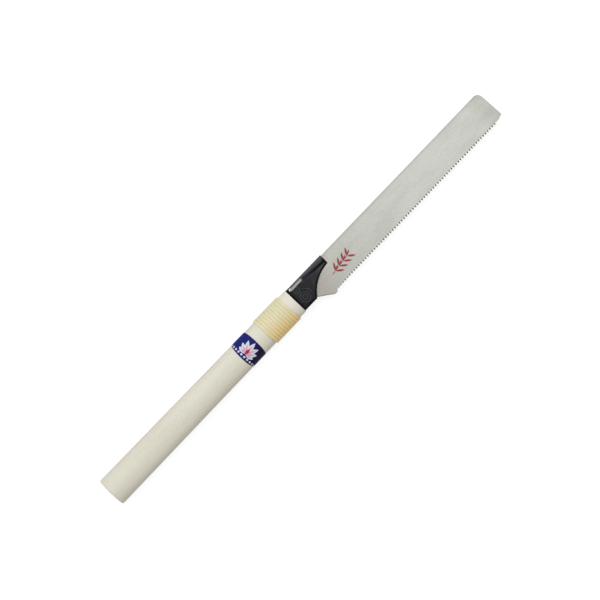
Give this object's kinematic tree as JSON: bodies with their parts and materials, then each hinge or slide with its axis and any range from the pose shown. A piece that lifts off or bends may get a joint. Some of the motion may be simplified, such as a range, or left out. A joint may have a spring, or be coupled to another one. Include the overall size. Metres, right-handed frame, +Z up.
{
  "type": "bamboo saw",
  "caption": "Straight-handled pull saw for bamboo: fine-toothed replaceable blade hooked in a black cast holder, on a pale oval wooden handle bound with rattan.",
  "frame": {"origin": "on the surface that the saw lies on, under the middle of its bounding box", "axes": "+X along the saw towards the blade's tip, +Y towards the blade's back, +Z up, square to the blade"},
  "size_m": [0.5666, 0.042, 0.0281],
  "materials": {
    "handle_wood": "fine sanded pale softwood, unvarnished",
    "rattan": "split rattan, smooth satin skin",
    "label_paper": "printed paper, blue and white",
    "holder_paint": "light alloy casting, black satin paint",
    "pin_steel": "plain drawn steel",
    "spring_steel": "bright rolled spring steel",
    "blade_steel": "satin ground steel"
  },
  "bodies": {
    "handle": {"handle_upper_half": "handle_wood", "handle_lower_half": "handle_wood", "rattan_binding": "rattan", "handle_label": "label_paper", "blade_holder": "holder_paint", "tang_pin": "pin_steel", "hook_pin": "pin_steel", "keeper_spring": "spring_steel", "spring_rivet": "pin_steel"},
    "blade": {"saw_blade": "blade_steel"}
  },
  "joints": [
    {"name": "blade_release", "type": "hinge", "parent": "handle", "child": "blade", "pos_m": [0.0026, 0.01025, 0.01408], "axis": [0, 0, -1], "range_deg": [0, 20]}
  ]
}
